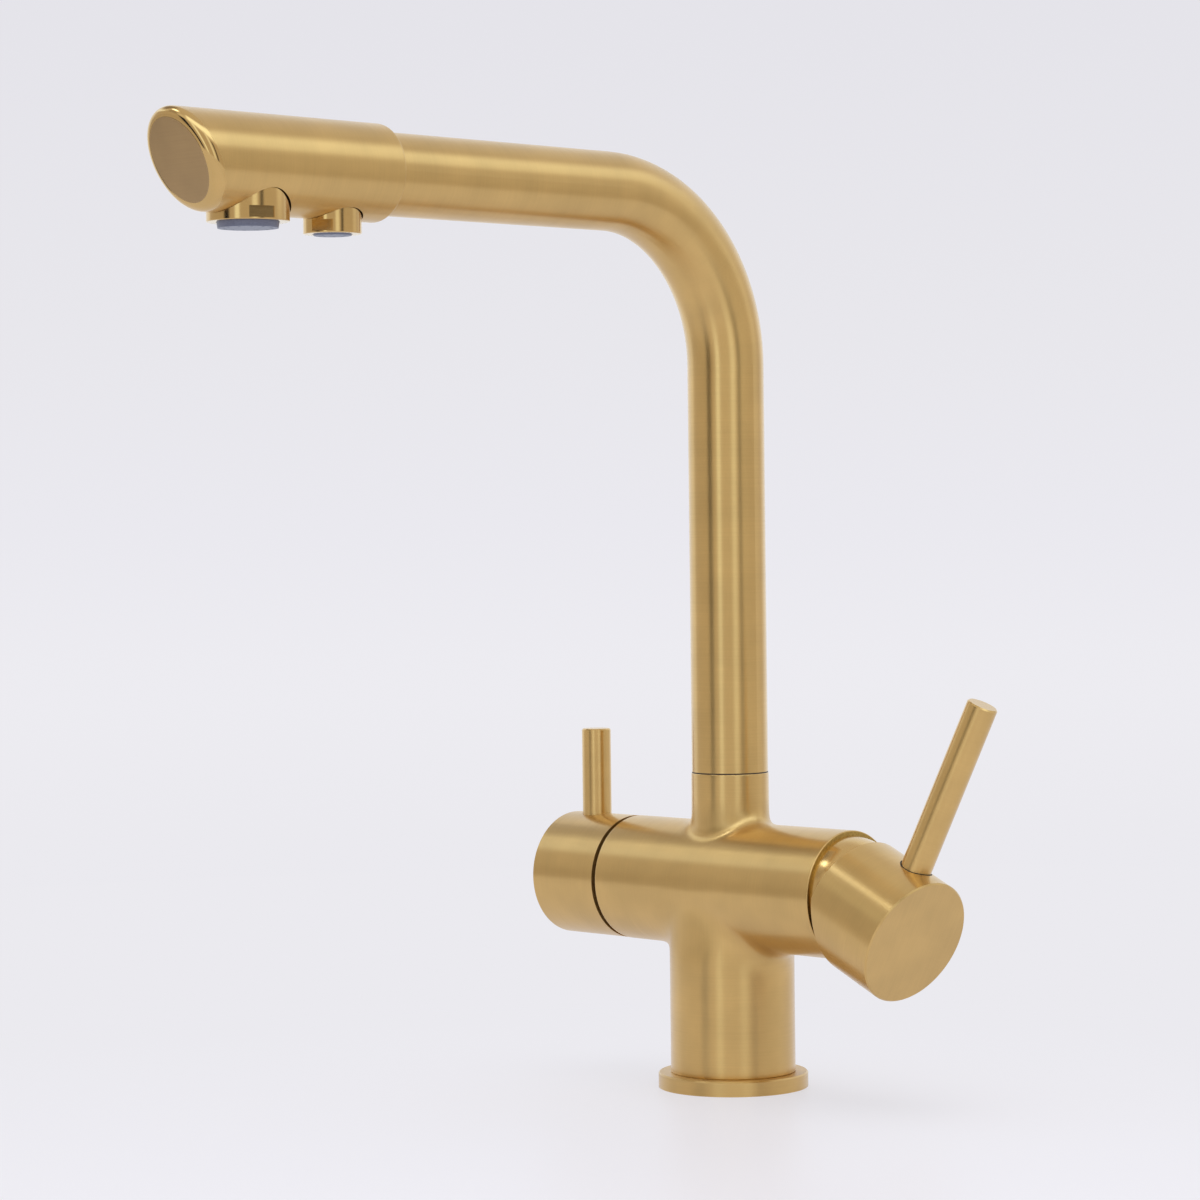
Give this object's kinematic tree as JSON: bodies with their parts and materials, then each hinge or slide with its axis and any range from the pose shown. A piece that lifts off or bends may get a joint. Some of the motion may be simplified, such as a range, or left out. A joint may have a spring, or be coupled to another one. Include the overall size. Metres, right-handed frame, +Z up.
{
  "type": "three way filtered water tap",
  "caption": "Deck-mounted kitchen tap with a crossbar body, a tall swivelling spout with separate outlets under its slanted head, a side mixer handle and a filtered water handle.",
  "frame": {"origin": "middle of the base on the worktop", "axes": "+Z up, spout towards -Y, mixer handle on the +X side, filter handle on the -X side"},
  "size_m": [0.2014, 0.2829, 0.3415],
  "materials": {
    "brushed_gold": "brushed, warm gold",
    "polished_gold": "polished, warm gold",
    "raw_brass": "machined",
    "steel": "plain",
    "black_rubber": "matt",
    "brown_plastic": "matt",
    "grey_plastic": "satin",
    "white_plastic": "satin",
    "ceramic": "lapped"
  },
  "bodies": {
    "body": {"base_ring": "brushed_gold", "base_gasket": "black_rubber", "body_casting": "brushed_gold", "mixer_port_gasket": "black_rubber", "mixer_base_plate": "white_plastic", "mixer_fixed_disc": "ceramic", "mixer_cartridge_housing": "white_plastic", "mixer_nut": "raw_brass", "mixer_dome_cover": "polished_gold", "filter_valve_seal": "black_rubber", "filter_fixed_disc": "ceramic", "filter_valve_body": "raw_brass", "filter_glide_ring": "brown_plastic", "swivel_washer": "brown_plastic", "swivel_screw": "steel"},
    "spout": {"spout_spigot": "raw_brass", "swivel_ring_lower": "black_rubber", "swivel_ring_upper": "black_rubber", "spout_tube": "brushed_gold", "filter_tube": "white_plastic", "spout_head": "brushed_gold", "main_aerator_housing": "brushed_gold", "main_aerator_insert": "grey_plastic", "main_aerator_washer": "black_rubber", "filter_aerator_housing": "brushed_gold", "filter_aerator_insert": "grey_plastic", "filter_aerator_washer": "black_rubber"},
    "filter_handle": {"filter_moving_disc": "ceramic", "filter_spindle": "raw_brass", "filter_spindle_ring": "black_rubber", "filter_cap": "brushed_gold", "filter_lever": "brushed_gold"},
    "carrier": {"mixer_carrier": "grey_plastic", "mixer_pivot_pin": "steel"},
    "disc": {"mixer_moving_disc": "ceramic", "mixer_disc_driver": "grey_plastic"},
    "mixer_handle": {"mixer_stem": "steel", "mixer_cap": "brushed_gold", "mixer_lever": "brushed_gold", "mixer_grub_screw": "steel", "mixer_screw_plug": "brushed_gold"}
  },
  "joints": [
    {"name": "spout_swivel", "type": "hinge", "parent": "body", "child": "spout", "pos_m": [0, 0, 0.1], "axis": [0, 0, 1], "range_deg": [-180, 180]},
    {"name": "filter_turn", "type": "hinge", "parent": "body", "child": "filter_handle", "pos_m": [-0.06, 0, 0.074], "axis": [1, 0, 0], "range_deg": [0, 90]},
    {"name": "mixer_turn", "type": "hinge", "parent": "body", "child": "carrier", "pos_m": [0.0571, 0, 0.074], "axis": [1, 0, 0], "range_deg": [-38.3, 51.7]},
    {"name": "mixer_lift", "type": "hinge", "parent": "carrier", "child": "mixer_handle", "pos_m": [0.0571, 0, 0.074], "axis": [0, -0.9932, 0.1167], "range_deg": [0, 23.5]},
    {"name": "mixer_disc_slide", "type": "slide", "parent": "carrier", "child": "disc", "axis": [0, 0.1167, 0.9932], "range_m": [-0.0053, 0.0001]}
  ],
  "couplings": [
    {"joint": "mixer_disc_slide", "follows": "mixer_lift", "m_per_rad": -0.012639}
  ]
}
